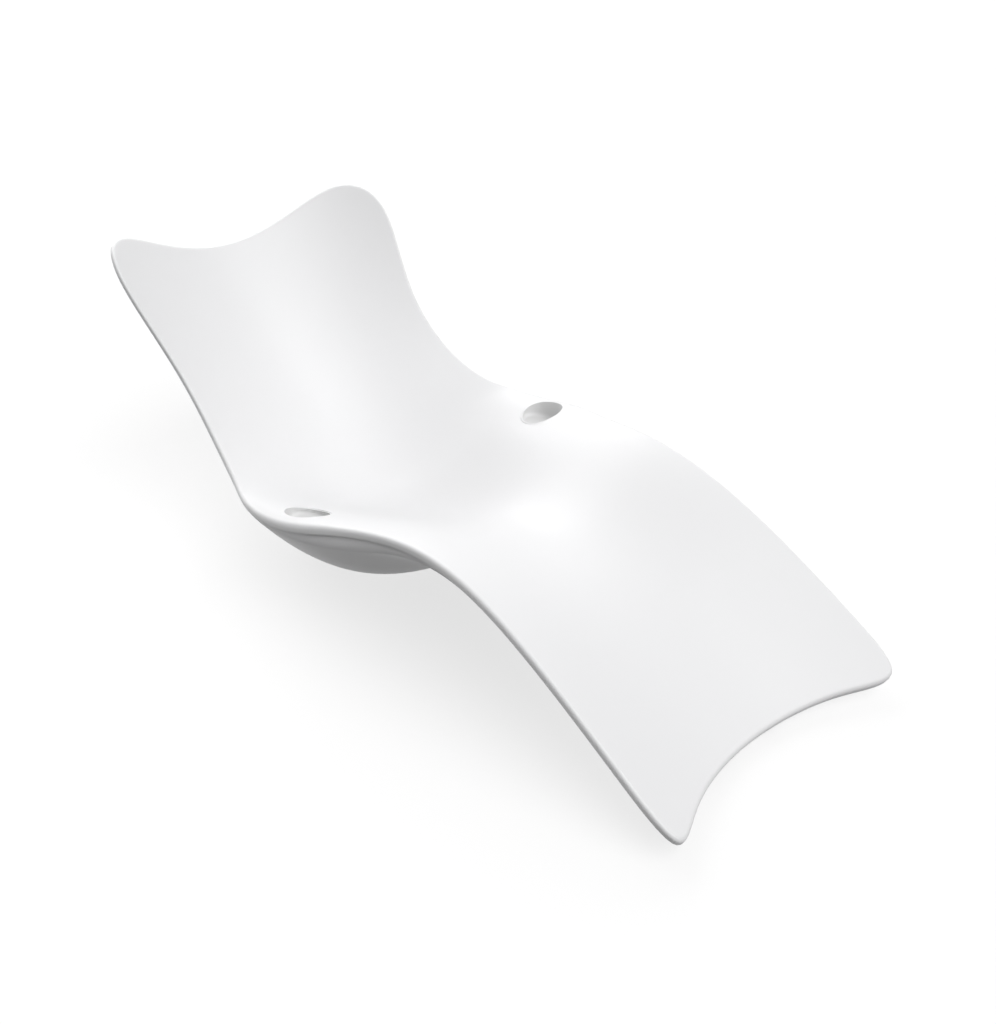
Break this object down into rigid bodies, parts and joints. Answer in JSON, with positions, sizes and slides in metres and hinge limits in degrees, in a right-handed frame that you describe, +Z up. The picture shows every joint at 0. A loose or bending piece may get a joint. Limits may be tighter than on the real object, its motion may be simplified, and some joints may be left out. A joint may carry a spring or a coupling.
{
  "type": "spa relaxation lounger",
  "caption": "Wavy one-piece moulded lounger with a raised back, bucket seat, knee hump and leg rest, grip slots in its hip shelves, and a belly that stands on levelling feet.",
  "frame": {"origin": "on the floor, below the centre of the lounger's bounding box", "axes": "+X along the lounger towards the foot end, +Y to the lying person's left, +Z up"},
  "size_m": [1.8193, 0.8183, 0.6289],
  "materials": {
    "gelcoat": "gloss",
    "laminate": "satin",
    "adhesive": "matte",
    "foam": "matte",
    "plywood": "matte",
    "brass": "satin",
    "steel": "satin",
    "rubber": "matte",
    "plug": "satin"
  },
  "bodies": {
    "lounger": {"seat_shell": "gelcoat", "under_shell": "gelcoat", "grip_cup_left": "laminate", "grip_cup_right": "laminate", "bond_seam": "adhesive", "back_core": "foam", "leg_core": "foam", "rib_1": "plywood", "rib_2": "plywood", "rib_3": "plywood", "rib_4": "plywood", "keel_board": "plywood", "base_board": "plywood", "thread_inserts": "brass", "lock_nut_1": "steel", "lock_nut_2": "steel", "lock_nut_3": "steel", "lock_nut_4": "steel", "foot_rest_pad_left": "rubber", "foot_rest_pad_right": "rubber", "plug_seal": "rubber", "pad_screws": "steel", "drain_plug": "plug"},
    "foot_1_disc": {"foot_disc_1": "steel", "foot_sole_1": "rubber"},
    "foot_1_stud": {"levelling_stud_1": "steel"},
    "foot_2_disc": {"foot_disc_2": "steel", "foot_sole_2": "rubber"},
    "foot_2_stud": {"levelling_stud_2": "steel"},
    "foot_3_disc": {"foot_disc_3": "steel", "foot_sole_3": "rubber"},
    "foot_3_stud": {"levelling_stud_3": "steel"},
    "foot_4_disc": {"foot_disc_4": "steel", "foot_sole_4": "rubber"},
    "foot_4_stud": {"levelling_stud_4": "steel"}
  },
  "joints": [
    {"name": "foot_travel_1", "type": "slide", "parent": "lounger", "child": "foot_1_disc", "axis": [0, 0, -1], "range_m": [0, 0.012]},
    {"name": "stud_turn_1", "type": "hinge", "parent": "foot_1_disc", "child": "foot_1_stud", "pos_m": [-0.312, -0.11, 0.03], "axis": [0, 0, -1], "range_deg": [0, 2880]},
    {"name": "foot_travel_2", "type": "slide", "parent": "lounger", "child": "foot_2_disc", "axis": [0, 0, -1], "range_m": [0, 0.012]},
    {"name": "stud_turn_2", "type": "hinge", "parent": "foot_2_disc", "child": "foot_2_stud", "pos_m": [-0.312, 0.11, 0.03], "axis": [0, 0, -1], "range_deg": [0, 2880]},
    {"name": "foot_travel_3", "type": "slide", "parent": "lounger", "child": "foot_3_disc", "axis": [0, 0, -1], "range_m": [0, 0.012]},
    {"name": "stud_turn_3", "type": "hinge", "parent": "foot_3_disc", "child": "foot_3_stud", "pos_m": [-0.112, -0.11, 0.03], "axis": [0, 0, -1], "range_deg": [0, 2880]},
    {"name": "foot_travel_4", "type": "slide", "parent": "lounger", "child": "foot_4_disc", "axis": [0, 0, -1], "range_m": [0, 0.012]},
    {"name": "stud_turn_4", "type": "hinge", "parent": "foot_4_disc", "child": "foot_4_stud", "pos_m": [-0.112, 0.11, 0.03], "axis": [0, 0, -1], "range_deg": [0, 2880]}
  ],
  "couplings": [
    {"joint": "stud_turn_1", "follows": "foot_travel_1", "rad_per_m": 4188.7},
    {"joint": "stud_turn_2", "follows": "foot_travel_2", "rad_per_m": 4188.7},
    {"joint": "stud_turn_3", "follows": "foot_travel_3", "rad_per_m": 4188.7},
    {"joint": "stud_turn_4", "follows": "foot_travel_4", "rad_per_m": 4188.7}
  ]
}
